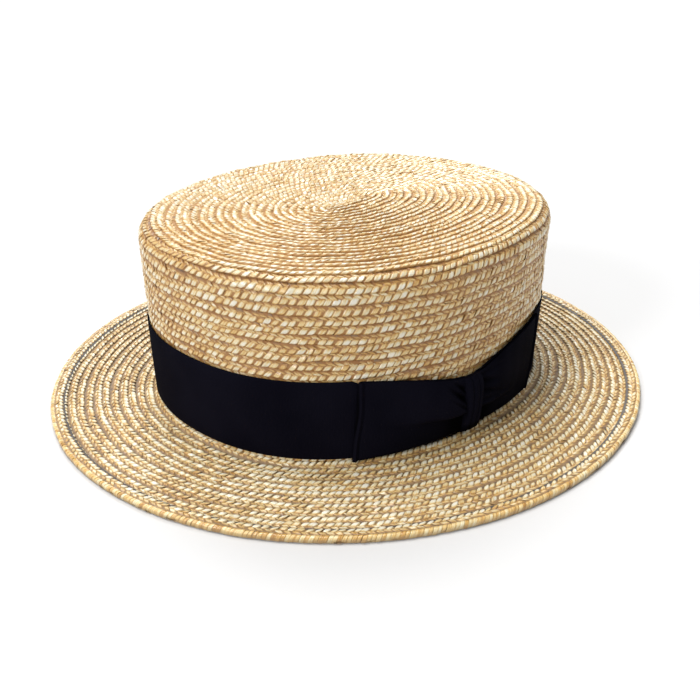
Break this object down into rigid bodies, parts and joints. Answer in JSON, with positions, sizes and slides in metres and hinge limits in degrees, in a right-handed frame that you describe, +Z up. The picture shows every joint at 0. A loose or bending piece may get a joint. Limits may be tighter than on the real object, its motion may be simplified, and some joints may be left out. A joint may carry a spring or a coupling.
{
  "type": "straw boater hat",
  "caption": "Flat-topped straw boater hat with an oval crown, a flat stiff brim, a black grosgrain band and a flat bow at the wearer's left.",
  "frame": {"origin": "centre of the brim's underside, on the plane that the hat rests on", "axes": "+Z up through the crown; the front of the hat faces -Y, so its length runs along Y; the bow, at the wearer's left, is on the +X side"},
  "size_m": [0.288, 0.303, 0.0885],
  "materials": {
    "crown_straw": "natural wheat straw plait, warm tan to cream, slight gloss",
    "brim_straw": "natural wheat straw plait, pale cream to tan, slight gloss",
    "ribbon": "black grosgrain ribbon with fine upright ribs, soft sheen"
  },
  "bodies": {
    "root": {"crown": "crown_straw", "brim": "brim_straw", "edge_braid": "brim_straw", "band": "ribbon", "bow_front_loop": "ribbon", "bow_back_loop": "ribbon", "bow_knot": "ribbon"}
  },
  "joints": []
}
